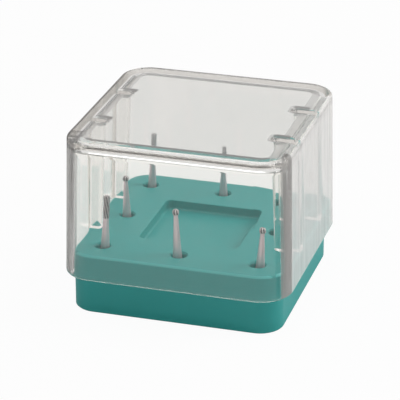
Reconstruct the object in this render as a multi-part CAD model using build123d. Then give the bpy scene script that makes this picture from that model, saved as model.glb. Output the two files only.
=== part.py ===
from build123d import *
import math
import os

# A small dental bur block: a moulded block with a shallow square recess in its top and a ring of
# eight blind holes round it, six burs standing in the holes, and a clear lid that sleeves over
# the block. Millimetres, +Z up. The origin is the middle of the block's underside, the front is
# -Y, and the rows of holes run along X and Y.

# Block
block_width = 37.0            # along X
block_depth = 37.0            # along Y
block_height = 10.85          # table to platform
block_corner = 4.2            # upright corners
platform_edge = 0.4           # slope round the platform's rim

# Recess in the platform
recess_width = 17.6
recess_length = 17.0          # along Y
recess_depth = 1.7
recess_shift = -0.4           # towards the front
recess_corner = 0.9

# Holes
hole_inset = 4.8              # block wall to the middle of the outer row
hole_bore = 2.6               # takes the thickest shank that is sold
hole_mouth = 2.9              # width of the countersink
hole_mouth_depth = 0.35
hole_floor = 1.9              # plastic left under each hole

# Core that lightens the block from below
core_wall = 1.7               # plastic left between the core and the holes
core_roof = 1.8               # plastic left between the core and the recess
core_corner = 2.0
core_draft = 1.5              # degrees

# Lid
lid_clearance = 0.2           # between the block and the lid's wall, at the rim
lid_wall = 1.3
lid_roof = 1.6
lid_overlap = 4.35            # how far the rim hangs below the platform
lid_headroom = 19.05          # platform to the roof's underside
lid_draft = 1.45              # degrees
lid_top_edge = 0.8            # rounding of the roof's rim, outside
lid_inner_edge = 2.4          # slope under the roof's rim, inside, across
lid_inner_edge_height = 1.2
lid_lead_in = 0.45            # slope inside the mouth, across
lid_lead_in_height = 0.7

# Ribs inside the lid, which carry it on the platform
rib_thickness = 1.7
rib_root = 0.6                # slope where a rib meets its wall
rib_nose = 0.42               # rounding of its nose, as a share of its thickness
left_rib_reach = 2.5          # from the wall, at the platform
right_rib_reach = 3.3         # from the wall, at the platform
rib_reach_more = 0.4          # added to both at the roof
rib_sunk = 0.4                # how far a rib runs into the wall that carries it
rib_seat_gap = 0.05           # between the ends of the ribs and the platform

# Burs
shank_diameter = 1.6
shank_short = 0.6             # platform down to where a shank starts to narrow
neck_length = 0.5             # plain neck under the head
bur_floor_gap = 0.08          # between a shank and the floor of its hole
bur_side_gap = 0.06           # between a leaning shank and the edge of its bore

# Each bur: its hole, kind of head, head diameter and length, how far it stands above the
# platform, the share of the hole's play that it leans by, and where it leans, from +X.
burs = {
    "fissure_bur_front_left": ("front_left", "fissure", 1.12, 4.0, 9.2, 1.0, 10),
    "round_bur_left": ("left", "round", 1.15, 1.15, 7.3, 0.3, 180),
    "cylinder_bur_back_left": ("back_left", "cylinder", 1.0, 2.4, 8.5, 0.8, 60),
    "taper_bur_back": ("back", "taper", 1.1, 3.2, 7.7, 0.2, 90),
    "round_bur_front": ("front", "round", 1.25, 1.25, 8.4, 0.7, 185),
    "round_bur_front_right": ("front_right", "round", 1.25, 1.25, 6.9, 1.0, 5),
}
blade_counts = {"fissure": 6, "round": 8, "cylinder": 8, "taper": 8}
neck_shares = {"fissure": 0.88, "round": 0.66, "cylinder": 0.82, "taper": 0.8}  # of the head
fissure_twist = 120           # degrees over the head's length
fissure_steps = 5             # rows of cross-cut blades
taper_tip = 0.62              # width of the tapered head's tip, as a share of its widest
blade_depth = 0.13            # share of the head's diameter

# Worked out from the sizes above
hole_x = block_width / 2 - hole_inset
hole_y = block_depth / 2 - hole_inset
hole_depth = block_height - hole_floor
holes = {
    "front_left": (-hole_x, -hole_y),
    "front": (0, -hole_y),
    "front_right": (hole_x, -hole_y),
    "right": (hole_x, 0),
    "back_right": (hole_x, hole_y),
    "back": (0, hole_y),
    "back_left": (-hole_x, hole_y),
    "left": (-hole_x, 0),
}
rim_height = block_height - lid_overlap
roof_height = block_height + lid_headroom
lid_height = lid_overlap + lid_headroom + lid_roof
lid_slope = math.tan(math.radians(lid_draft))
sink = 1.0                    # how far a cutter stands out of what it cuts


def edges_at(solid, height):
    """Edges that lie flat at one height."""
    return solid.edges().filter_by_position(Axis.Z, height - 0.001, height + 0.001)


def make_recess_cutter():
    """The recess, with round corners."""
    floor = block_height - recess_depth
    plan = Pos(0, recess_shift, floor) * RectangleRounded(recess_width, recess_length, recess_corner)
    return extrude(plan, recess_depth + sink)


def make_core_cutter():
    """The hollow under the recess, which narrows upwards."""
    top = block_height - recess_depth - core_roof
    margin = 2 * (hole_bore / 2 + core_wall)
    plan = RectangleRounded(2 * hole_x - margin, 2 * hole_y - margin, core_corner)
    return extrude(plan, top, taper=core_draft)


def make_hole_cutter():
    """A blind hole with a countersunk mouth, standing on its own floor."""
    bore = Pos(0, 0, hole_depth / 2) * Cylinder(hole_bore / 2, hole_depth)
    middle = hole_depth - hole_mouth_depth / 2
    mouth = Pos(0, 0, middle) * Cone(hole_bore / 2, hole_mouth / 2, hole_mouth_depth)
    return bore + mouth


def make_block():
    """The moulded block."""
    block = extrude(RectangleRounded(block_width, block_depth, block_corner), block_height)
    block = chamfer(edges_at(block, block_height), platform_edge)
    block -= make_recess_cutter()
    block -= make_core_cutter()
    cutter = make_hole_cutter()
    for x, y in holes.values():
        block -= Pos(x, y, hole_floor) * cutter
    return block


def lid_inside(axis_size, height):
    """Half the width inside the lid at a height above the rim."""
    return axis_size / 2 + lid_clearance - height * lid_slope


def make_rib_root():
    """The section that flares into the wall, seen along the wall, the wall's face at X = 0."""
    half = rib_thickness / 2
    root = half + rib_root
    return make_face(Polyline(
        (-rib_root, -half), (0, -root), (rib_sunk, -root), (rib_sunk, root), (0, root),
        (-rib_root, half), close=True))


def make_rib(reach):
    """A rib on the right wall, from the platform up into the roof."""
    low = block_height + rib_seat_gap
    high = roof_height + rib_sunk
    wall_low = lid_inside(block_width, low - rim_height)
    wall_high = lid_inside(block_width, high - rim_height)
    nose_low = wall_low - reach
    nose_high = wall_high - reach - rib_reach_more
    side = Plane.XZ * make_face(Polyline(
        (nose_low, low), (wall_low, low), (wall_high, high), (nose_high, high), close=True))
    fin = extrude(side, rib_thickness / 2, both=True)
    nose = fin.faces().sort_by(Axis.X)[0]
    uprights = [e for e in nose.edges() if abs((e @ 0).Z - (e @ 1).Z) > sink]
    fin = fillet(uprights, rib_thickness * rib_nose)
    root = extrude(make_rib_root(), 2 * (high - low), both=True)
    root = Pos(wall_low, 0, low) * Rot(0, -lid_draft, 0) * root
    level = Pos(wall_low, 0, (low + high) / 2) * Box(4 * reach, 2 * rib_thickness + 4 * rib_root, high - low)
    return fin + (root & level)


def make_lid():
    """The clear lid: a drafted shell, open below, with four ribs inside."""
    inner_corner = block_corner + lid_clearance
    inner_plan = RectangleRounded(
        block_width + 2 * lid_clearance, block_depth + 2 * lid_clearance, inner_corner)
    outer_plan = RectangleRounded(
        block_width + 2 * (lid_clearance + lid_wall),
        block_depth + 2 * (lid_clearance + lid_wall), inner_corner + lid_wall)
    outer = extrude(outer_plan, lid_height, taper=lid_draft)
    outer = fillet(edges_at(outer, lid_height), lid_top_edge)
    inner_wall = lid_height - lid_roof - lid_inner_edge_height
    inner = extrude(inner_plan, inner_wall, taper=lid_draft)
    edge_slope = math.degrees(math.atan2(lid_inner_edge, lid_inner_edge_height))
    inner += extrude(inner.faces().sort_by(Axis.Z)[-1], lid_inner_edge_height, taper=edge_slope)
    mouth_slope = math.degrees(math.atan2(lid_lead_in, lid_lead_in_height))
    mouth_plan = offset(inner_plan, lid_lead_in)
    mouth = extrude(mouth_plan, lid_lead_in_height, taper=mouth_slope)
    lid = Pos(0, 0, rim_height) * (outer - inner - mouth)
    for side, reach in ((0, right_rib_reach), (180, left_rib_reach)):
        rib = make_rib(reach)
        for row in (-hole_y / 2, hole_y / 2):
            lid += Pos(0, row, 0) * Rot(0, 0, side) * rib
    return lid


def star_points(diameter, count):
    """Corners of a bladed section: ridges at the full diameter with hollows between them."""
    high = diameter / 2
    low = high - blade_depth * diameter
    points = []
    for blade in range(count):
        start = 360 / count * blade
        for share, radius in ((0, high), (0.25, high), (0.6, low)):
            turn = math.radians(start + share * 360 / count)
            points.append((radius * math.cos(turn), radius * math.sin(turn)))
    return points


def make_fissure_head(diameter, length):
    """A cross-cut head: short rows of blades, each turned a little from the row below."""
    row = length / fissure_steps
    turn = fissure_twist / fissure_steps
    star = make_face(Polyline(*star_points(diameter, blade_counts["fissure"]), close=True))
    head = Part()
    for step in range(fissure_steps):
        head += Pos(0, 0, row * step) * Rot(0, 0, turn * step) * extrude(star, row)
    return head


def make_bladed_head(sections, count):
    """A head whose blades run its whole length, from its height and width at each section."""
    rings = [[(x, y, height) for x, y in star_points(width, count)] for height, width in sections]
    faces = [make_face(Polyline(*ring, close=True)) for ring in (rings[0], rings[-1])]
    for below, above in zip(rings, rings[1:]):
        for here in range(len(below)):
            last = here - 1
            faces.append(make_face(Polyline(below[last], below[here], above[here], above[last], close=True)))
    return Solid(Shell([face.face() for face in faces]))


def ball_sections(diameter):
    """Heights and widths of a ball, from its foot to its crown."""
    turns = [math.radians(turn) for turn in (-70, -40, -12, 12, 40, 70)]
    return [(diameter / 2 * (1 + math.sin(turn)), diameter * math.cos(turn)) for turn in turns]


def make_bur(kind, head_diameter, head_length, stand):
    """A bur on its shank, its foot at the origin."""
    shank_end = hole_depth - bur_floor_gap - shank_short
    head_start = hole_depth - bur_floor_gap + stand - head_length
    neck_top = head_start + 0.3 * head_diameter
    radius = shank_diameter / 2
    neck = head_diameter / 2 * neck_shares[kind]
    with BuildPart() as blank:
        with BuildSketch(Plane.XZ):
            with BuildLine():
                Polyline(
                    (0, 0), (radius, 0), (radius, shank_end),
                    (neck, head_start - neck_length), (neck, neck_top),
                    (0, neck_top), close=True)
            make_face()
        revolve(axis=Axis.Z)
    if kind == "fissure":
        head = make_fissure_head(head_diameter, head_length)
    elif kind == "round":
        head = make_bladed_head(ball_sections(head_diameter), blade_counts[kind])
    else:
        tip = head_diameter * (taper_tip if kind == "taper" else 1)
        head = make_bladed_head([(0, head_diameter), (head_length, tip)], blade_counts[kind])
    return blank.part + Pos(0, 0, head_start) * head


def stand_in_hole(bur, hole, lean_share, lean_towards):
    """Put a bur in its hole, leaning by a share of the play that the hole leaves."""
    play = (hole_bore - shank_diameter) / 2 - bur_side_gap
    lean = math.degrees(math.atan2(play * lean_share, hole_depth))
    x, y = holes[hole]
    tilt = Rot(0, 0, lean_towards) * Rot(0, lean, 0)
    return Pos(x, y, hole_floor + bur_floor_gap) * tilt * bur


parts = {"bur_block_base": make_block(), "clear_lid": make_lid()}
for name, (hole, kind, diameter, length, stand, lean, towards) in burs.items():
    parts[name] = stand_in_hole(make_bur(kind, diameter, length, stand), hole, lean, towards)

os.makedirs("parts", exist_ok=True)
for name, solid in parts.items():
    export_step(solid, f"parts/{name}.step")
    print(name, round(solid.volume, 2), solid.bounding_box())
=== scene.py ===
import math

import bmesh
import bpy
from mathutils import Matrix, Vector


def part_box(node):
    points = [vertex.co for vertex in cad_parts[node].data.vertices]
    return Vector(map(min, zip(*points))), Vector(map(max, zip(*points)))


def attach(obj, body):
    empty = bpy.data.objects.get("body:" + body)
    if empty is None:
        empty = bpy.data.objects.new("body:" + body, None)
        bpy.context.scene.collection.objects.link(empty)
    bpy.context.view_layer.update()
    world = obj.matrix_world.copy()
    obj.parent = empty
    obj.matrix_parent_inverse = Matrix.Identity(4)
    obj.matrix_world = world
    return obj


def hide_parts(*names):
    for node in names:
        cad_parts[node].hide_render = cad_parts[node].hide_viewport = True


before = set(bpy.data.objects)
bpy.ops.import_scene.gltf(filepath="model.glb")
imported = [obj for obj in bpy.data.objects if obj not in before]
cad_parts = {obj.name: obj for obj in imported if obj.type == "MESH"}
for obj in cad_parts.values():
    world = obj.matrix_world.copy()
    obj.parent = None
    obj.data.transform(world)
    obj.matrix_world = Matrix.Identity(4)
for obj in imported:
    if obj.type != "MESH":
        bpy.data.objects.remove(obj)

bl_info = {
    "name": "Dental Bur Block",
    "version": (1, 0, 0),
    "blender": (4, 5, 0),
    "location": "View3D > Sidebar > Bur Block",
    "description": "Dresses a moulded dental bur block, its clear lid and its burs",
    "category": "Object",
}

MM = 0.001
WELD = 0.000001               # vertices nearer than this are one
BLOCK_CORNER_STEPS = 12       # facets of each rounded corner
RECESS_CORNER_STEPS = 8
LID_CORNER_STEPS = 14
HOLE_STEPS = 40               # facets all round
BUR_STEPS = 96
SENSOR_WIDTH = 36.0           # millimetres, as the lens is
RIB_FOOT = 0.02 * MM          # height of the turn between a rib's foot and its side
ROOT_START = 0.03 * MM        # first cut past a rib's side
RIB_LINES = (0.0, 0.17, 0.45, 0.7, 0.88, 1.0)   # cuts over half a rib's thickness
ROOT_LINES = (0.05, 0.12, 0.2, 0.3, 0.4, 0.55, 0.7, 0.85, 1.0)   # and over its hollow rounding

BLOCK_NODE = "bur_block_base"
LID_NODE = "clear_lid"


def node_box(name):
    """The lowest and highest corners of a CAD node, as vectors."""
    low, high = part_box(name)
    return Vector(low), Vector(high)


block_low, block_high = node_box(BLOCK_NODE)
lid_low, lid_high = node_box(LID_NODE)


def length(name, description, default):
    """A size of the object that a user may change."""
    return bpy.props.FloatProperty(
        name=name, description=description, default=default, min=0.0, precision=5,
        subtype="DISTANCE", unit="LENGTH")


def angle(name, description, degrees):
    """An angle that a user may change."""
    return bpy.props.FloatProperty(
        name=name, description=description, default=math.radians(degrees), subtype="ANGLE")


def location(name, description, default):
    """A point in space that a user may change."""
    return bpy.props.FloatVectorProperty(
        name=name, description=description, default=default, precision=5,
        subtype="TRANSLATION", unit="LENGTH")


def colour(name, description, default):
    """A linear colour that a user may change."""
    return bpy.props.FloatVectorProperty(
        name=name, description=description, default=default, size=3, min=0.0, max=1.0,
        subtype="COLOR")


def amount(name, description, default, low=0.0, high=1.0):
    """A plain number that a user may change."""
    return bpy.props.FloatProperty(
        name=name, description=description, default=default, min=low, max=high)


# Settings

class BurBlockBaseSettings(bpy.types.PropertyGroup):
    """Sizes and colour of the moulded block."""
    width: length("Width", "Block along X", block_high.x - block_low.x)
    depth: length("Depth", "Block along Y", block_high.y - block_low.y)
    height: length("Height", "Table to platform", block_high.z)
    corner: length("Corner", "Rounding of the upright corners", 4.2 * MM)
    rim_round: length("Rim", "Rounding of the platform's rim", 0.5 * MM)
    foot_slope: length("Foot", "Slope round the underside", 0.15 * MM)
    recess_width: length("Recess", "Width of the recess", 17.6 * MM)
    recess_length: length("Recess length", "Length of the recess along Y", 17.0 * MM)
    recess_depth: length("Recess depth", "Platform to the recess's floor", 1.7 * MM)
    recess_shift: length("Recess shift", "How far the recess sits towards the front", 0.4 * MM)
    recess_corner: length("Recess corner", "Rounding of the recess's corners", 0.9 * MM)
    recess_foot: length("Recess foot", "Rounding where the recess's walls meet its floor", 0.45 * MM)
    lip_round: length("Lips", "Rounding of the lips of the recess and the holes", 0.15 * MM)
    hole_inset: length("Hole inset", "Block wall to the middle of the outer row", 4.8 * MM)
    hole_bore: length("Hole bore", "Diameter of each hole", 2.6 * MM)
    hole_mouth: length("Hole mouth", "Diameter of the countersink", 2.9 * MM)
    hole_mouth_depth: length("Mouth depth", "Depth of the countersink", 0.35 * MM)
    hole_floor: length("Hole floor", "Plastic left under each hole", 1.9 * MM)
    core_width: length("Core", "Width of the hollow under the block", 21.4 * MM)
    core_corner: length("Core corner", "Rounding of the hollow's corners", 2.0 * MM)
    core_height: length("Core height", "Height of the hollow", 7.35 * MM)
    core_draft: angle("Core draft", "Lean of the hollow's sides", 1.5)
    teal: colour("Plastic", "Colour of the moulded plastic", (0.025, 0.40, 0.375))
    # painted highlight: this lighter colour on the rim's rounding stands in for the light that the rounded
    # edge catches
    edge: colour("Rim colour", "Lighter colour that the rim's rounding takes", (0.10, 0.60, 0.57))


class BurBlockLidSettings(bpy.types.PropertyGroup):
    """Sizes and colour of the clear lid."""
    width: length("Width", "Lid along X at its rim", lid_high.x - lid_low.x)
    depth: length("Depth", "Lid along Y at its rim", lid_high.y - lid_low.y)
    rim: length("Rim height", "Table to the lid's rim", lid_low.z)
    top: length("Top height", "Table to the top of the roof", lid_high.z)
    corner: length("Corner", "Rounding of the upright corners at the rim", 5.7 * MM)
    wall: length("Wall", "Thickness of the walls", 1.3 * MM)
    roof: length("Roof", "Thickness of the roof", 1.6 * MM)
    draft: angle("Draft", "Lean of the walls", 1.45)
    top_round: length("Roof edge", "Rounding of the roof's rim, outside", 0.8 * MM)
    inner_edge: length("Inner edge", "Rounding under the roof's rim, inside, across", 2.4 * MM)
    inner_edge_height: length("Inner edge height", "Height of that rounding", 1.2 * MM)
    rim_round: length("Rim edge", "Rounding of the rim", 0.2 * MM)
    lead_in: length("Lead-in", "Slope inside the mouth, across", 0.45 * MM)
    lead_in_height: length("Lead-in height", "Height of the slope inside the mouth", 0.7 * MM)
    rib_thickness: length("Rib", "Thickness of each rib", 1.7 * MM)
    rib_root: length("Rib root", "Hollow rounding where a rib meets its wall", 0.6 * MM)
    rib_nose: length("Rib nose", "Rounding of a rib's free edge", 0.7 * MM)
    left_rib_reach: length("Left ribs", "Reach from the wall, at the platform", 2.5 * MM)
    right_rib_reach: length("Right ribs", "Reach from the wall, at the platform", 3.3 * MM)
    rib_reach_more: length("Rib slant", "Added to the reach at the roof", 0.4 * MM)
    rib_roof_round: length("Rib top", "Hollow rounding where a rib meets the roof", 0.9 * MM)
    rib_seat_gap: length("Rib gap", "Between the ribs and the platform", 0.05 * MM)
    rib_row: length("Rib row", "Middle of the lid to each rib, along Y", 6.85 * MM)
    clear: colour("Plastic", "Tint of the clear plastic's surface", (0.985, 0.98, 0.965))
    inner_tint: colour("Depth tint", "Colour that long paths through the plastic take", (0.60, 0.57, 0.53))
    inner_density: amount("Depth density", "How fast long paths darken, per metre", 60.0, 0.0, 2000.0)
    # painted glow: an emission in this colour stands in for light caught in the wall
    trapped_glow: colour("Trapped light", "What shows where light stays caught in the wall", (0.95, 0.93, 0.90))


class BurBlockHazeSettings(bpy.types.PropertyGroup):
    """Where the clear lid is hazy or carries painted shade, how much, and in which colours."""
    fade: length("Fade", "Over which a band of haze fades out", 0.2 * MM)
    right_band: length("Right band", "Width of the band on the front right corner", 1.05 * MM)
    left_band: length("Left band", "Width of the band on the front left corner", 2.6 * MM)
    band_back: length("Band back", "How far both bands go back from the front", 5.0 * MM)
    rim_band: length("Rim band", "Height of the haze on the rim", 0.1 * MM)
    front_line: length("Front line", "Height of the line under the roof's front edge", 0.06 * MM)
    other_line: length("Other lines", "Height of the line under the roof's other edges", 0.2 * MM)
    line_back: length("Line back", "How far the front line's stretch goes back", 4.4 * MM)
    rib_shade_back: length("Mark back", "Middle of a rib to the back of the mark at its top", 1.6 * MM)
    rib_shade_drop: length("Mark drop", "Roof down to the end of a rib's mark", 1.1 * MM)
    rib_shade_start: length("Mark start", "Lid's side to the start of a rib's mark", 2.8 * MM)
    rib_shade_end: length("Mark end", "Lid's side to the end of a rib's mark", 5.5 * MM)
    rail_shade_band: length("Rail band", "Width of the haze along the roof's back and left edges", 0.82 * MM)
    rail_drop: length("Rail drop", "How far that haze comes down", 1.6 * MM)
    roof_skin: length("Roof skin", "Depth of the haze on the roof", 0.02 * MM)
    slant_share: amount("Slant", "Haze on faces seen at a slant", 0.16)
    side_share: amount("Side", "Even haze on the right wall", 0.24)
    side_streaks: amount("Side streaks", "Streaked haze on the right wall", 0.5)
    rim_share: amount("Rim", "Haze on the rim", 0.3)
    corner_shade_share: amount("Bands", "Even haze on the corners", 0.3)
    corner_shade_streaks: amount("Band streaks", "Streaked haze on the corners", 0.45)
    edge_shade_share: amount("Lines", "Haze of the lines under the roof's edges", 0.85)
    rib_shade_share: amount("Marks", "Haze of the marks at the ribs' tops", 0.6)
    rail_shade_share: amount("Rails", "Haze along the roof's back and left edges", 0.6)
    roof_share: amount("Roof", "Haze on the roof", 0.15)
    pale: colour("Pale haze", "Colour of the faint haze on the faces", (0.90, 0.885, 0.87))
    # painted shade: this grey darkens the corner bands, edge lines, rib marks and rails, and also tints the
    # roof's haze
    shade_and_haze_grey: colour("Grey haze", "Colour of the rubbed corners and edges", (0.25, 0.237, 0.228))
    # partly painted reflection: the rim's haze takes the teal of the block below it, as its reflection
    # would
    rim: colour("Rim haze", "Colour that the rim takes from the block below it", (0.22, 0.62, 0.57))


class BurBlockBurSettings(bpy.types.PropertyGroup):
    """Sizes and colours of the burs."""
    shank: length("Shank", "Diameter of each shank", 1.6 * MM)
    shank_chamfer: length("Shank chamfer", "Slope round a shank's foot", 0.15 * MM)
    shank_short: length("Shank short", "Platform down to where a shank starts to narrow", 0.6 * MM)
    neck_length: length("Neck length", "Plain neck under the head", 0.5 * MM)
    floor_gap: length("Floor gap", "Between a shank and the floor of its hole", 0.08 * MM)
    side_gap: length("Side gap", "Between a leaning shank and its bore", 0.06 * MM)
    blade_depth: amount("Blades", "Depth of the grooves, as a share of the head's diameter", 0.15)
    steel: colour("Steel", "Colour of the shanks", (0.88, 0.74, 0.76))
    carbide: colour("Head", "Colour of the blades", (0.62, 0.58, 0.58))
    # painted shade: this dark colour between the blades stands in for the shade in the grooves
    groove_shade: colour("Grooves", "Colour between the blades", (0.12, 0.11, 0.11))


class BurBlockStageSettings(bpy.types.PropertyGroup):
    """The camera, the lights and the floor."""
    camera_distance: length("Camera distance", "Camera to the point it looks at", 381.94 * MM)
    camera_azimuth: angle("Azimuth", "Camera's turn to the right of the front", 16.393)
    camera_elevation: angle("Elevation", "Camera's height over the table as an angle", 23.664)
    camera_target: location(
        "Target", "Point that the camera looks at", (0.025 * MM, -1.736 * MM, 15.738 * MM))
    lens: bpy.props.FloatProperty(
        name="Lens", description="Focal length, for the sensor's width", default=197.7, unit="CAMERA")
    floor: colour("Floor", "Colour of the floor", (0.86, 0.86, 0.86))
    floor_half: length("Floor size", "Middle of the floor to its edge", 3.0)
    floor_white: amount("Floor white", "Share of plain white in the floor where it is seen", 0.95)
    world_light: amount("Room light", "Strength of the even light from all sides", 0.34, 0.0, 5.0)
    key_power: amount("Key light", "Power of the large light at the right, in watts", 1.3, 0.0, 100.0)
    key_size: length("Key size", "Width of the large light", 0.30)
    key_place: location("Key place", "Where the large light stands", (0.42, 0.22, 0.34))
    top_power: amount("Top light", "Power of the light overhead, in watts", 0.86, 0.0, 100.0)
    top_size: length("Top size", "Width of the light overhead", 0.40)
    top_place: location("Top place", "Where the light overhead hangs", (-0.08, 0.02, 0.60))
    light_aim: location("Light aim", "Point that both lights face", (0.0, 0.0, 0.012))


# Shader building

class Value:
    """A number in a shader that takes part in Python sums."""

    def __init__(self, shader, socket):
        self.shader = shader
        self.socket = socket

    def math(self, operation, *operands):
        """One Math node on this value and up to two more."""
        inputs = dict(enumerate((self, *operands)))
        return self.shader.add("ShaderNodeMath", {"operation": operation}, inputs)

    def __add__(self, other):
        return self.math("ADD", other)

    __radd__ = __add__

    def __mul__(self, other):
        return self.math("MULTIPLY", other)

    __rmul__ = __mul__

    def __sub__(self, other):
        return self.math("SUBTRACT", other)

    def __rsub__(self, other):
        return self.shader.add("ShaderNodeMath", {"operation": "SUBTRACT"}, {0: other, 1: self})

    def __pow__(self, other):
        return self.math("POWER", other)

    def __getitem__(self, name):
        """Another output of the node that this value comes from."""
        return Value(self.shader, self.socket.node.outputs[name])


class Shader:
    """The node tree of one material or of the world."""

    def __init__(self, owner):
        owner.use_nodes = True
        self.tree = owner.node_tree
        self.tree.nodes.clear()

    def add(self, kind, settings, sockets):
        """Add a node, set it up, fill or link its inputs, and give back its first output."""
        node = self.tree.nodes.new(kind)
        for name, setting in settings.items():
            setattr(node, name, setting)
        for name, value in sockets.items():
            if isinstance(value, Value):
                self.tree.links.new(value.socket, node.inputs[name])
            else:
                node.inputs[name].default_value = value
        return Value(self, node.outputs[0]) if node.outputs else None

    def step(self, value, start, end):
        """0 at the start and before it, 1 at the end and past it; the end may be the lower one."""
        return self.add("ShaderNodeMapRange", {}, {0: value, 1: start, 2: end})

    def near(self, value, edge, reach, fade):
        """1 where a value is less than a reach short of an edge, or past it."""
        return self.step(value, edge - reach - fade, edge - reach)

    def blend(self, share, low, high):
        """Mix two colours, from the low one at 0 to the high one at 1."""
        mix = self.add("ShaderNodeMix", {"data_type": "RGBA"}, {0: share, 6: low, 7: high})
        return Value(self, mix.socket.node.outputs[2])


def opaque(rgb):
    """A colour with full alpha."""
    return (*rgb, 1.0)


def new_material(name):
    """A material with an empty node tree."""
    material = bpy.data.materials.new(name)
    return material, Shader(material)


HIGHLIGHT_FADE_UP = 0.15 * MM      # fades of the rim's painted highlight: up from its foot, down from the platform, and inwards, past its reach
HIGHLIGHT_FADE_DOWN = 0.06 * MM    # down from the platform,
HIGHLIGHT_FADE_IN = 0.2 * MM       # and inwards, past its reach
HIGHLIGHT_REACH = 1.0 * MM


def block_plastic(block):
    """Satin moulded plastic, very slightly mottled, with a painted highlight along the platform's rim."""
    material, shader = new_material("teal_moulded_plastic")
    where = shader.add("ShaderNodeTexCoord", {}, {})["Object"]
    mottle = shader.add("ShaderNodeTexNoise", {}, {"Vector": where, "Scale": 260.0, "Detail": 3.0})
    grain = shader.add("ShaderNodeTexNoise", {}, {"Vector": where, "Scale": 5200.0, "Detail": 2.0})
    deep = [channel * 0.93 for channel in block.teal]
    body = shader.blend(mottle, opaque(deep), opaque(block.teal))
    x = shader.add("ShaderNodeSeparateXYZ", {}, {"Vector": where})
    height = x["Z"]
    outermost = x.math("ABSOLUTE").math("MAXIMUM", x["Y"].math("ABSOLUTE"))
    low = block.height - block.rim_round
    # painted highlight: a lighter band on the platform's rim rounding, near the block's outer walls
    edge = shader.step(height, low, low + HIGHLIGHT_FADE_UP)
    edge = edge * shader.step(height, block.height, block.height - HIGHLIGHT_FADE_DOWN)
    edge = edge * shader.near(outermost, block.width / 2, HIGHLIGHT_REACH, HIGHLIGHT_FADE_IN)
    body = shader.blend(edge, body, opaque(block.edge))
    bump = shader.add("ShaderNodeBump", {}, {"Strength": 0.10, "Distance": 0.00004, "Height": grain})
    plastic = shader.add("ShaderNodeBsdfPrincipled", {}, {
        "Base Color": body,
        "Roughness": 0.38 + mottle * 0.1,
        "Normal": bump,
    })
    shader.add("ShaderNodeOutputMaterial", {}, {"Surface": plastic})
    return material


MOST_HAZE = 0.9               # so that some light always passes
CORNER_SHADE_GREY = 0.75              # how grey the painted shade on the corners is, from pale to grey
STREAKS = (0.38, 0.62)        # values of the noise at a sharp streak's two sides
CAUGHT = (2.2, 2.8)           # reflections after which light counts as caught in the wall and the painted glow shows
UNDERSIDE = (0.001 * MM, 0.004 * MM)   # keeps the painted shade lines off the roof's flat underside


def corner_shade_bands(shader, lid, haze, x, leant):
    """Painted shade: grey bands on the two front corners, where the rounded corners look dark."""
    half = lid.width / 2
    right = shader.near(x + leant, half, haze.right_band, haze.fade)
    left = shader.near(leant - x, half, haze.left_band, haze.fade)
    return (right + left) * shader.near(leant - x["Y"], half, haze.band_back, 2 * haze.fade)


def edge_shade_lines(shader, lid, haze, x):
    """Painted shade: grey lines under the roof's edges, standing in for the dark lines that refraction
    shows there: a thin dark one at the front, wider ones elsewhere.
    """
    half = lid.width / 2
    inner = half - lid.wall
    under = lid.top - lid.roof
    height = x["Z"]
    front = shader.step(x["Y"], haze.line_back + haze.fade - half, haze.line_back - half)
    line = shader.near(height, under, haze.front_line, haze.front_line / 2) * front
    other = shader.near(height, under, haze.other_line, haze.other_line / 2)
    line = line + 0.5 * other * (1.0 - front)
    outermost = x.math("ABSOLUTE").math("MAXIMUM", x["Y"].math("ABSOLUTE"))
    line = line * shader.step(outermost, inner + haze.fade / 2, inner - haze.fade / 2)
    return line * shader.step(height, under - UNDERSIDE[0], under - UNDERSIDE[1])


def rib_shade_marks(shader, lid, haze, x):
    """Painted shade: grey marks just behind the ribs' tops, where the ribs' rounding into the roof shows
    dark.
    """
    half = lid.width / 2
    under = lid.top - lid.roof
    height = x["Z"]
    far_x = x.math("ABSOLUTE")
    rib_shade = sum(
        shader.step(x["Y"], row + haze.fade / 2, row + 1.5 * haze.fade)
        * shader.step(x["Y"], row + haze.rib_shade_back + haze.fade, row + haze.rib_shade_back)
        for row in (-lid.rib_row, lid.rib_row))
    rib_shade = rib_shade * shader.near(height, under, haze.rib_shade_drop, 1.5 * haze.fade)
    rib_shade = rib_shade * shader.step(height, under + 2 * haze.fade, under + 1.5 * haze.fade)
    rib_shade = rib_shade * shader.near(far_x, half, haze.rib_shade_end, 2.5 * haze.fade)
    return rib_shade * shader.step(far_x, half - haze.rib_shade_start, half - haze.rib_shade_start - 2 * haze.fade)


def rail_shade_band(shader, lid, haze, x, leant):
    """Painted shade: a grey band along the roof's back and left edges."""
    outermost = (leant - x).math("MAXIMUM", leant + x["Y"])
    rail_shade = shader.near(outermost, lid.width / 2, haze.rail_shade_band, haze.fade / 5)
    return rail_shade * shader.near(x["Z"], lid.top, haze.rail_drop, haze.fade)


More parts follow.
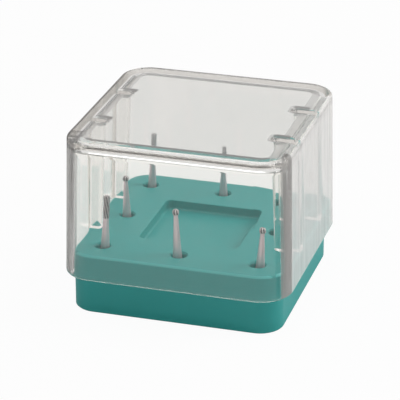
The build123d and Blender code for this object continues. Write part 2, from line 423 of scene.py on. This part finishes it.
def hazed(shader, lid, haze, clear):
    """The clear plastic with its haze and its painted shade mixed in."""
    slant = shader.add("ShaderNodeLayerWeight", {}, {"Blend": 0.5})["Facing"]
    where = shader.add("ShaderNodeTexCoord", {}, {})["Object"]
    stretched = shader.add("ShaderNodeMapping", {}, {"Vector": where, "Scale": (100.0, 900.0, 25.0)})
    streaks = shader.add("ShaderNodeTexNoise", {}, {"Vector": stretched, "Scale": 1.0, "Detail": 3.0})
    sharp_streaks = shader.step(streaks, *STREAKS)
    x = shader.add("ShaderNodeSeparateXYZ", {}, {"Vector": where})
    height = x["Z"]
    leant = (height - lid.rim) * math.tan(lid.draft)
    side = shader.near(x, lid.width / 2, 0.6 * lid.wall, haze.fade)
    # the rim's line: partly a hazy edge, partly painted reflection, in the block's teal
    rim = shader.step(height, lid.rim + haze.rim_band + haze.fade, lid.rim + haze.rim_band)
    corner_shade = corner_shade_bands(shader, lid, haze, x, leant)
    line = edge_shade_lines(shader, lid, haze, x)
    rib_shade = rib_shade_marks(shader, lid, haze, x)
    rail_shade = rail_shade_band(shader, lid, haze, x, leant)
    roof = shader.near(height, lid.top, haze.roof_skin, 1.5 * haze.roof_skin)

    share = haze.slant_share * slant ** 3.0 + side * (haze.side_share + haze.side_streaks * streaks)
    share = share + haze.rim_share * rim + corner_shade * (haze.corner_shade_share + haze.corner_shade_streaks * sharp_streaks)
    share = share + haze.edge_shade_share * line + haze.rib_shade_share * rib_shade
    share = share + haze.rail_shade_share * rail_shade + haze.roof_share * roof
    # painted shade: the bands, lines, marks and rails turn the haze grey; the roof's haze greys a little
    # too
    shade_and_haze_grey = (CORNER_SHADE_GREY * corner_shade + line + rib_shade + rail_shade + roof).math("MINIMUM", 1.0)
    tone = shader.blend(shade_and_haze_grey, opaque(haze.pale), opaque(haze.shade_and_haze_grey))
    dull = shader.add("ShaderNodeBsdfPrincipled", {}, {
        "Base Color": shader.blend(rim, tone, opaque(haze.rim)),
        "Roughness": 0.9,
        "Specular IOR Level": 0.0,
    })
    return shader.add("ShaderNodeMixShader", {}, {0: share.math("MINIMUM", MOST_HAZE), 1: clear, 2: dull})


def clear_plastic(lid, haze):
    """Clear moulded plastic: glass-like, darker through its depth, hazy in places, with painted shade and a
    painted glow, and light passes it.
    """
    material, shader = new_material("clear_moulded_plastic")
    clear = shader.add("ShaderNodeBsdfPrincipled", {}, {
        "Base Color": opaque(lid.clear),
        "Roughness": 0.03,
        "IOR": 1.49,
        "Transmission Weight": 1.0,
    })
    ray = shader.add("ShaderNodeLightPath", {}, {})
    # painted glow: the wall emits this pale colour where light stays caught in it, though it is no lamp
    trapped_glow = shader.add("ShaderNodeEmission", {}, {"Color": opaque(lid.trapped_glow), "Strength": 1.0})
    caught = shader.step(ray["Glossy Depth"], *CAUGHT)
    hazy = hazed(shader, lid, haze, clear)
    seen = shader.add("ShaderNodeMixShader", {}, {0: caught, 1: hazy, 2: trapped_glow})
    through = shader.add("ShaderNodeBsdfTransparent", {}, {"Color": (0.99, 0.99, 0.99, 1.0)})
    unseen = ray["Is Shadow Ray"].math("MAXIMUM", ray["Is Diffuse Ray"])
    surface = shader.add("ShaderNodeMixShader", {}, {0: unseen, 1: seen, 2: through})
    depth = shader.add("ShaderNodeVolumeAbsorption", {}, {
        "Color": opaque(lid.inner_tint),
        "Density": lid.inner_density,
    })
    shader.add("ShaderNodeOutputMaterial", {}, {"Surface": surface, "Volume": depth})
    return material


def ground_steel(name, rgb, roughness):
    """Ground steel with fine turned bands round a bur."""
    material, shader = new_material(name)
    where = shader.add("ShaderNodeTexCoord", {}, {})["Object"]
    stretched = shader.add("ShaderNodeMapping", {}, {"Vector": where, "Scale": (400.0, 400.0, 9000.0)})
    bands = shader.add("ShaderNodeTexNoise", {}, {"Vector": stretched, "Scale": 1.0, "Detail": 2.0})
    dark = [channel * 0.8 for channel in rgb]
    bump = shader.add("ShaderNodeBump", {}, {"Strength": 0.15, "Distance": 0.00001, "Height": bands})
    steel = shader.add("ShaderNodeBsdfPrincipled", {}, {
        "Base Color": shader.blend(bands, opaque(dark), opaque(rgb)),
        "Metallic": 0.6,
        "Roughness": roughness + bands * 0.12,
        "Normal": bump,
    })
    shader.add("ShaderNodeOutputMaterial", {}, {"Surface": steel})
    return material


# Mesh building

def finish_piece(bm, name, materials, crease):
    """Close up a bmesh as an object at the origin, smooth except at its sharp edges."""
    bmesh.ops.remove_doubles(bm, verts=bm.verts, dist=WELD)
    bmesh.ops.dissolve_degenerate(bm, edges=bm.edges, dist=WELD)
    bmesh.ops.recalc_face_normals(bm, faces=bm.faces)
    mesh = bpy.data.meshes.new(name)
    for face in bm.faces:
        face.smooth = True
    bm.to_mesh(mesh)
    bm.free()
    mesh.set_sharp_from_angle(angle=crease)
    for material in materials:
        mesh.materials.append(material)
    piece = bpy.data.objects.new(name, mesh)
    bpy.context.scene.collection.objects.link(piece)
    weighted = piece.modifiers.new("flat faces stay flat", "WEIGHTED_NORMAL")
    weighted.keep_sharp = True
    return piece


def plan_face(bm, width, depth, corner, height, steps):
    """A level face with rounded corners."""
    place = Matrix.Translation((0, 0, height)) @ Matrix.Diagonal((width, depth, 1, 1))
    quad = bmesh.ops.create_grid(bm, x_segments=1, y_segments=1, size=0.5, matrix=place)
    rounded = bmesh.ops.bevel(
        bm, geom=quad["verts"], offset=corner, offset_type="OFFSET", segments=steps,
        affect="VERTICES", profile=0.5, material=-1)
    faces = {face for vert in rounded["verts"] for face in vert.link_faces}
    return faces.pop()


def open_ring(bm, face):
    """Take a face away and give back the ring of edges round it."""
    edges = list(face.edges)
    bmesh.ops.delete(bm, geom=[face], context="FACES_ONLY")
    return edges


def loft(bm, levels, steps):
    """Join level outlines, each (width, depth, corner, height), into a wall; gives both end rings."""
    rings = [open_ring(bm, plan_face(bm, *level, steps)) for level in levels]
    for below, above in zip(rings, rings[1:]):
        bmesh.ops.bridge_loops(bm, edges=below + above)
    return rings[0], rings[-1]


def quarter(across, up, steps):
    """Points (across, up) of a quarter round, from upright to level."""
    turns = [math.pi / 2 * step / steps for step in range(steps + 1)]
    return [(across * (1 - math.cos(turn)), up * math.sin(turn)) for turn in turns]


def turned(bm, profile, steps, place=Matrix.Identity(4)):
    """Spin a profile of (radius, height) points about Z, then put it in its place."""
    chain = [bm.verts.new((radius, 0, height)) for radius, height in profile]
    edges = [bm.edges.new(pair) for pair in zip(chain, chain[1:])]
    before = set(bm.verts)
    bmesh.ops.spin(
        bm, geom=chain + edges, cent=(0, 0, 0), axis=(0, 0, 1), dvec=(0, 0, 0),
        angle=math.tau, steps=steps, use_merge=True, use_duplicate=False)
    verts = chain + [vert for vert in bm.verts if vert not in before]
    bmesh.ops.transform(bm, matrix=place, verts=verts)


def edges_at(bm, height):
    """Open edges that lie at a height."""
    return [
        edge for edge in bm.edges
        if edge.is_boundary and all(abs(vert.co.z - height) < WELD for vert in edge.verts)]


# Pieces

def hole_places(block):
    """The middle of each hole, by name."""
    x = block.width / 2 - block.hole_inset
    y = block.depth / 2 - block.hole_inset
    return {
        "front_left": (-x, -y), "front": (0, -y), "front_right": (x, -y), "right": (x, 0),
        "back_right": (x, y), "back": (0, y), "back_left": (-x, y), "left": (-x, 0)}


class BURBLOCK_OT_block(bpy.types.Operator):
    """Model the moulded block with its recess, holes and core."""
    bl_idname = "burblock.block"
    bl_label = "Block"

    def execute(self, context):
        block = context.scene.bur_block_base
        bm = bmesh.new()
        slope = block.foot_slope
        levels = [(block.width - 2 * slope, block.depth - 2 * slope, block.corner - slope, 0.0)]
        levels.append((block.width, block.depth, block.corner, slope))
        for across, up in quarter(block.rim_round, block.rim_round, 6):
            levels.append((
                block.width - 2 * across, block.depth - 2 * across, block.corner - across,
                block.height - block.rim_round + up))
        loft(bm, levels, BLOCK_CORNER_STEPS)
        self.cut_recess(bm, block)
        self.drill_holes(bm, block)
        bmesh.ops.remove_doubles(bm, verts=bm.verts, dist=WELD)
        bmesh.ops.triangle_fill(
            bm, use_beauty=True, use_dissolve=False, edges=edges_at(bm, block.height), normal=(0, 0, 1))
        self.hollow_core(bm, block)
        bmesh.ops.triangle_fill(
            bm, use_beauty=True, use_dissolve=False, edges=edges_at(bm, 0.0), normal=(0, 0, -1))

        piece = finish_piece(bm, "moulded_block", [block_plastic(block)], math.radians(35))
        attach(piece, "base")
        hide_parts(BLOCK_NODE)
        return {"FINISHED"}

    def cut_recess(self, bm, block):
        """The shallow recess, with a rounded foot and lip."""
        floor = block.height - block.recess_depth
        recess = []
        for across, up in reversed(quarter(block.recess_foot, block.recess_foot, 4)):
            recess.append((-across, floor + block.recess_foot - up))
        for across, up in quarter(block.lip_round, block.lip_round, 3):
            recess.append((across, block.height - block.lip_round + up))
        before = set(bm.verts)
        outline = [
            (block.recess_width + 2 * out, block.recess_length + 2 * out, block.recess_corner + out, height)
            for out, height in recess]
        bottom, _ = loft(bm, outline, RECESS_CORNER_STEPS)
        bmesh.ops.edgeloop_fill(bm, edges=bottom)
        bmesh.ops.translate(
            bm, vec=(0, -block.recess_shift, 0), verts=[vert for vert in bm.verts if vert not in before])

    def drill_holes(self, bm, block):
        """The ring of blind holes, each with a wider mouth."""
        bore = block.hole_bore / 2
        mouth = block.hole_mouth / 2
        profile = [(0, block.hole_floor), (bore, block.hole_floor)]
        profile.append((bore, block.height - block.hole_mouth_depth))
        for across, up in quarter(block.lip_round, block.lip_round, 3):
            profile.append((mouth + across, block.height - block.lip_round + up))
        for x, y in hole_places(block).values():
            turned(bm, profile, HOLE_STEPS, Matrix.Translation((x, y, 0)))

    def hollow_core(self, bm, block):
        """The drafted hollow under the middle."""
        narrow = 2 * block.core_height * math.tan(block.core_draft)
        top = block.core_width - narrow
        _, roof = loft(bm, [
            (block.core_width, block.core_width, block.core_corner, 0.0),
            (top, top, block.core_corner - narrow / 2, block.core_height)], RECESS_CORNER_STEPS)
        bmesh.ops.edgeloop_fill(bm, edges=roof)


def rib_depth(lid, across, reach, flare):
    """How far the wall's inner face stands in at a distance along it from a rib's middle."""
    half = lid.rib_thickness / 2 + flare
    nose = lid.rib_nose
    if across <= half:
        past = max(0.0, across - (half - nose))
        return reach - nose + math.sqrt(nose ** 2 - past ** 2)
    hollow = min(half + lid.rib_root - across, lid.rib_root)
    if hollow <= 0:
        return 0.0
    return lid.rib_root - math.sqrt(lid.rib_root ** 2 - hollow ** 2)


class BURBLOCK_OT_lid(bpy.types.Operator):
    """Model the clear lid: two drafted shells joined at the rim, with four ribs inside."""
    bl_idname = "burblock.lid"
    bl_label = "Clear lid"

    def execute(self, context):
        lid = context.scene.bur_block_lid
        seat = context.scene.bur_block_base.height + lid.rib_seat_gap
        bm = bmesh.new()
        self.make_outside(bm, lid)
        outside = set(bm.faces)
        self.make_inside(bm, lid, seat)
        self.cut_rib_lines(bm, lid, outside)
        self.push_ribs_in(bm, lid, seat, outside)
        bmesh.ops.triangle_fill(
            bm, use_beauty=True, use_dissolve=False, edges=edges_at(bm, lid.rim), normal=(0, 0, -1))

        haze = context.scene.bur_block_haze
        piece = finish_piece(bm, "clear_lid_shell", [clear_plastic(lid, haze)], math.radians(35))
        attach(piece, "lid")
        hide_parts(LID_NODE)
        return {"FINISHED"}

    def inward(self, lid, height):
        """How far the draft has brought the walls in at a height."""
        return (height - lid.rim) * math.tan(lid.draft)

    def make_outside(self, bm, lid):
        """The outer shell, from the rounded rim to the roof."""
        profile = []
        for across, up in reversed(quarter(lid.rim_round, lid.rim_round, 3)):
            profile.append((across, lid.rim + lid.rim_round - up))
        edge_low = lid.top - lid.top_round
        for across, up in quarter(lid.top_round, lid.top_round, 8):
            profile.append((across + self.inward(lid, edge_low), edge_low + up))
        levels = [
            (lid.width - 2 * into, lid.depth - 2 * into, lid.corner - into, height)
            for into, height in profile]
        _, top = loft(bm, levels, LID_CORNER_STEPS)
        bmesh.ops.edgeloop_fill(bm, edges=top)

    def make_inside(self, bm, lid, seat):
        """The inner shell, with a ring of edges where the ribs' feet will be."""
        lead_in_top = lid.rim + lid.lead_in_height
        profile = [(-lid.lead_in, lid.rim), (self.inward(lid, lead_in_top), lead_in_top)]
        profile.append((self.inward(lid, seat), seat))
        profile.append((self.inward(lid, seat), seat + RIB_FOOT))
        edge_low = lid.top - lid.roof - lid.inner_edge_height
        for across, up in quarter(lid.inner_edge, lid.inner_edge_height, 10):
            profile.append((across + self.inward(lid, edge_low), edge_low + up))
        levels = [
            (lid.width - 2 * (lid.wall + into), lid.depth - 2 * (lid.wall + into),
             lid.corner - lid.wall - into, height)
            for into, height in profile]
        _, under = loft(bm, levels, LID_CORNER_STEPS)
        bmesh.ops.edgeloop_fill(bm, edges=under)

    def cut_rib_lines(self, bm, lid, outside):
        """Cut the inner shell along each rib, closely where the rib's surface turns."""
        half = lid.rib_thickness / 2
        spread = lid.rib_root + lid.rib_roof_round
        lines = [half * share for share in RIB_LINES]
        lines.append(half + ROOT_START)
        lines += [half + spread * share for share in ROOT_LINES]
        cuts = {side * lid.rib_row + way * line for side in (-1, 1) for way in (-1, 1) for line in lines}
        for cut in sorted(cuts):
            faces = [face for face in bm.faces if face not in outside]
            geometry = faces + list({edge for face in faces for edge in face.edges})
            geometry += list({vert for face in faces for vert in face.verts})
            bmesh.ops.bisect_plane(
                bm, geom=geometry, dist=WELD / 10, plane_co=(0, cut, 0), plane_no=(0, 1, 0))

    def push_ribs_in(self, bm, lid, seat, outside):
        """Move the walls' inner faces in to the shape of the ribs."""
        roof_under = lid.top - lid.roof
        wall_half = lid.width / 2 - lid.wall
        for vert in {vert for face in bm.faces if face not in outside for vert in face.verts}:
            if vert.co.z < seat + RIB_FOOT / 2 or abs(vert.co.x) < wall_half / 2:
                continue
            across = abs(abs(vert.co.y) - lid.rib_row)
            reach = lid.right_rib_reach if vert.co.x > 0 else lid.left_rib_reach
            reach += lid.rib_reach_more * (vert.co.z - seat) / (roof_under - seat)
            curl = min(1.0, max(0.0, 1 - (roof_under - vert.co.z) / lid.rib_roof_round))
            flare = lid.rib_roof_round * (1 - math.sqrt(1 - curl ** 2))
            depth = rib_depth(lid, across, reach + flare, flare)
            stands_in = wall_half - self.inward(lid, vert.co.z) - depth
            if stands_in < abs(vert.co.x):
                vert.co.x = math.copysign(stands_in, vert.co.x)


# Each bur: its CAD node, hole, kind of head, head diameter and length, how far it stands above
# the platform, the share of the hole's play that it leans by, and where it leans, in degrees from
# +X. Lengths are in millimetres.
BURS = (
    ("fissure_bur_front_left", "front_left", "fissure", 1.12, 4.0, 9.2, 1.0, 10),
    ("round_bur_left", "left", "round", 1.15, 1.15, 7.3, 0.3, 180),
    ("cylinder_bur_back_left", "back_left", "cylinder", 1.0, 2.4, 8.5, 0.8, 60),
    ("taper_bur_back", "back", "taper", 1.1, 3.2, 7.7, 0.2, 90),
    ("round_bur_front", "front", "round", 1.25, 1.25, 8.4, 0.7, 185),
    ("round_bur_front_right", "front_right", "round", 1.25, 1.25, 6.9, 1.0, 5),
)
NECKS = {"fissure": 0.88, "round": 0.66, "cylinder": 0.82, "taper": 0.8}   # share of the head's width
BLADES = {"fissure": 6, "round": 6, "cylinder": 8, "taper": 8}              # all round a head
TWISTS = {"fissure": 120.0, "round": 25.0, "cylinder": 30.0, "taper": 30.0}   # degrees, foot to crown
TAPER_TIP = 0.62              # width of the tapered head's tip, as a share of its widest
HEAD_EDGE = 0.12              # slope round a head's ends, as a share of its radius
HEAD_STEPS = 14               # levels from a head's foot to its crown
GROOVE_WIDTH = 0.75           # part of each turn from blade to blade that is groove
GROOVE_START = 0.02 * MM      # grooves start this far above a head's foot
CROWN_SHARE = 0.5             # middle of the crown that stays whole, as a share of the neck
SHADED_GROOVE_DEPTH = 0.7             # depth past which a groove takes the painted shade


def head_profile(kind, radius, size, start):
    """Points (radius, height) of a head's outline, from its foot to its crown."""
    if kind == "round":
        turns = [math.radians(-60 + 150 * step / HEAD_STEPS) for step in range(HEAD_STEPS + 1)]
        return [(radius * math.cos(turn), start + radius * (1 + math.sin(turn))) for turn in turns]
    tip = radius * (TAPER_TIP if kind == "taper" else 1.0)
    edge = HEAD_EDGE * radius
    outline = [(radius - edge, start)]
    for step in range(HEAD_STEPS + 1):
        share = step / HEAD_STEPS
        outline.append((radius + (tip - radius) * share, start + edge + (size - 2 * edge) * share))
    return outline + [(tip - edge, start + size), (0.0, start + size)]


def groove_share(point, kind, start, size):
    """How deep a point of a head lies in a groove, from 0 on a blade to 1 at the bottom."""
    around = math.atan2(point.y, point.x) + math.radians(TWISTS[kind]) * (point.z - start) / size
    phase = (around * BLADES[kind] / math.tau) % 1.0
    return math.sin(math.pi * min(1.0, phase / GROOVE_WIDTH)) ** 0.8


class BURBLOCK_OT_burs(bpy.types.Operator):
    """Model the burs: turned blanks whose heads carry blades."""
    bl_idname = "burblock.burs"
    bl_label = "Burs"

    def execute(self, context):
        block = context.scene.bur_block_base
        bur = context.scene.bur_block_burs
        metals = [
            ground_steel("ground_steel", bur.steel, 0.34),
            ground_steel("blade_edges", bur.carbide, 0.42),
            ground_steel("blade_groove_shade", bur.groove_shade, 0.6),
        ]
        hole_depth = block.height - block.hole_floor
        play = (block.hole_bore - bur.shank) / 2 - bur.side_gap
        for node, hole, kind, diameter, size, stand, lean, towards in BURS:
            start = hole_depth - bur.floor_gap + (stand - size) * MM
            tilt = math.atan2(play * lean, hole_depth)
            x, y = hole_places(block)[hole]
            place = Matrix.Translation((x, y, block.hole_floor + bur.floor_gap))
            place @= Matrix.Rotation(math.radians(towards), 4, "Z") @ Matrix.Rotation(tilt, 4, "Y")
            bm = bmesh.new()
            self.make_blank(bm, block, bur, kind, diameter * MM / 2, size * MM, start)
            self.grind_blades(bm, bur, kind, diameter * MM / 2, size * MM, start)
            bmesh.ops.transform(bm, matrix=place, verts=bm.verts)
            piece = finish_piece(bm, node.replace("_bur", "_bur_ground"), metals, math.radians(38))
            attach(piece, "base")
            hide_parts(node)
        return {"FINISHED"}

    def make_blank(self, bm, block, bur, kind, radius, size, start):
        """The plain turned shape: shank, narrowing stem, neck and head."""
        half = bur.shank / 2
        stem_low = block.height - block.hole_floor - bur.floor_gap - bur.shank_short
        neck = radius * NECKS[kind]
        head = head_profile(kind, radius, size, start)
        if kind == "round":
            while head[0][0] < neck:
                head.pop(0)
        stem = [(0, 0), (half - bur.shank_chamfer, 0), (half, bur.shank_chamfer), (half, stem_low)]
        stem += [(neck, start - bur.neck_length), (neck, head[0][1])]
        turned(bm, stem + head, BUR_STEPS)

    def grind_blades(self, bm, bur, kind, radius, size, start):
        """Sink the grooves between the blades, and give the blades their steel and the deep grooves a dark
        steel as painted shade.
        """
        for vert in bm.verts:
            across = math.hypot(vert.co.x, vert.co.y)
            if vert.co.z <= start + GROOVE_START or across < CROWN_SHARE * radius * NECKS[kind]:
                continue
            keep = 1 - 2 * bur.blade_depth * groove_share(vert.co, kind, start, size)
            vert.co.x *= keep
            vert.co.y *= keep
        # painted shade: faces deep in a groove take the dark steel
        for face in bm.faces:
            middle = face.calc_center_median()
            if middle.z > start:
                groove = groove_share(middle, kind, start, size)
                face.material_index = 1 + int(groove > SHADED_GROOVE_DEPTH)


class BURBLOCK_OT_stage(bpy.types.Operator):
    """Set up the floor, the soft lights, the white room and the camera."""
    bl_idname = "burblock.stage"
    bl_label = "Stage"

    def execute(self, context):
        stage = context.scene.bur_block_stage
        self.make_floor(stage)
        self.make_world(stage)
        aim = Vector(stage.light_aim)
        self.make_lamp("key_light", stage.key_power, stage.key_size, Vector(stage.key_place), aim)
        self.make_lamp("top_light", stage.top_power, stage.top_size, Vector(stage.top_place), aim)
        self.make_camera(stage)
        context.scene.view_settings.view_transform = "Standard"
        return {"FINISHED"}

    def make_floor(self, stage):
        """A plain floor that looks white and keeps the soft shadow."""
        material, shader = new_material("pale_floor")
        ray = shader.add("ShaderNodeLightPath", {}, {})
        seen = (ray["Is Camera Ray"] + ray["Is Transmission Ray"]).math("MINIMUM", 1.0)
        matte = shader.add("ShaderNodeBsdfDiffuse", {}, {"Color": opaque(stage.floor)})
        white = shader.add("ShaderNodeEmission", {}, {"Color": (1, 1, 1, 1), "Strength": 1.0})
        share = seen * stage.floor_white
        surface = shader.add("ShaderNodeMixShader", {}, {0: share, 1: matte, 2: white})
        shader.add("ShaderNodeOutputMaterial", {}, {"Surface": surface})
        bm = bmesh.new()
        bmesh.ops.create_grid(bm, x_segments=1, y_segments=1, size=stage.floor_half)
        mesh = bpy.data.meshes.new("floor")
        bm.to_mesh(mesh)
        bm.free()
        mesh.materials.append(material)
        floor = bpy.data.objects.new("floor", mesh)
        bpy.context.scene.collection.objects.link(floor)

    def make_world(self, stage):
        """White where it is seen, and an even soft light elsewhere."""
        world = bpy.data.worlds.new("white_room")
        bpy.context.scene.world = world
        shader = Shader(world)
        ray = shader.add("ShaderNodeLightPath", {}, {})
        seen = ray["Is Camera Ray"] + ray["Is Glossy Ray"] + ray["Is Transmission Ray"]
        seen = seen.math("MINIMUM", 1.0)
        plain_white = (1, 1, 1, 1)
        even = shader.add("ShaderNodeBackground", {}, {"Color": plain_white, "Strength": stage.world_light})
        white = shader.add("ShaderNodeBackground", {}, {"Color": plain_white, "Strength": 1.0})
        room = shader.add("ShaderNodeMixShader", {}, {0: seen, 1: even, 2: white})
        shader.add("ShaderNodeOutputWorld", {}, {"Surface": room})

    def make_lamp(self, name, power, size, position, aim):
        """A large soft lamp that points at the object."""
        lamp = bpy.data.lights.new(name, "AREA")
        lamp.energy = power
        lamp.shape = "DISK"
        lamp.size = size
        holder = bpy.data.objects.new(name, lamp)
        holder.rotation_mode = "QUATERNION"
        holder.rotation_quaternion = (position - aim).to_track_quat("Z", "Y")
        holder.location = position
        bpy.context.scene.collection.objects.link(holder)

    def make_camera(self, stage):
        """The camera at the photograph's angle."""
        turn = stage.camera_azimuth
        rise = stage.camera_elevation
        back = Vector((math.sin(turn) * math.cos(rise), -math.cos(turn) * math.cos(rise), math.sin(rise)))
        right = Vector((math.cos(turn), math.sin(turn), 0))
        up = back.cross(right)
        camera = bpy.data.cameras.new("camera")
        camera.lens = stage.lens
        camera.sensor_fit = "HORIZONTAL"
        camera.sensor_width = SENSOR_WIDTH
        camera.clip_start = 0.01
        holder = bpy.data.objects.new("camera", camera)
        axes = Matrix((right, up, back)).transposed().to_4x4()
        stand = Vector(stage.camera_target) + back * stage.camera_distance
        holder.matrix_world = Matrix.Translation(stand) @ axes
        bpy.context.scene.collection.objects.link(holder)
        bpy.context.scene.camera = holder


class BURBLOCK_PT_panel(bpy.types.Panel):
    """Lists the pieces and the stage."""
    bl_idname = "BURBLOCK_PT_panel"
    bl_label = "Bur Block"
    bl_space_type = "VIEW_3D"
    bl_region_type = "UI"
    bl_category = "Bur Block"

    def draw(self, context):
        """One button for each step."""
        for operator in STEPS:
            self.layout.operator(operator.bl_idname)


STEPS = (BURBLOCK_OT_block, BURBLOCK_OT_lid, BURBLOCK_OT_burs, BURBLOCK_OT_stage)
SETTINGS = {
    "bur_block_base": BurBlockBaseSettings,
    "bur_block_lid": BurBlockLidSettings,
    "bur_block_haze": BurBlockHazeSettings,
    "bur_block_burs": BurBlockBurSettings,
    "bur_block_stage": BurBlockStageSettings,
}


def register():
    """Add the settings, the operators and the panel."""
    for name, group in SETTINGS.items():
        bpy.utils.register_class(group)
        setattr(bpy.types.Scene, name, bpy.props.PointerProperty(type=group))
    for part in (*STEPS, BURBLOCK_PT_panel):
        bpy.utils.register_class(part)


def unregister():
    """Take the panel, the operators and the settings away again."""
    for part in reversed((*STEPS, BURBLOCK_PT_panel)):
        bpy.utils.unregister_class(part)
    for name, group in SETTINGS.items():
        delattr(bpy.types.Scene, name)
        bpy.utils.unregister_class(group)


def main():
    """Make every piece and the stage."""
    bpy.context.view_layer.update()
    register()
    bpy.ops.burblock.block()
    bpy.ops.burblock.lid()
    bpy.ops.burblock.burs()
    bpy.ops.burblock.stage()


if __name__ == "__main__":
    main()
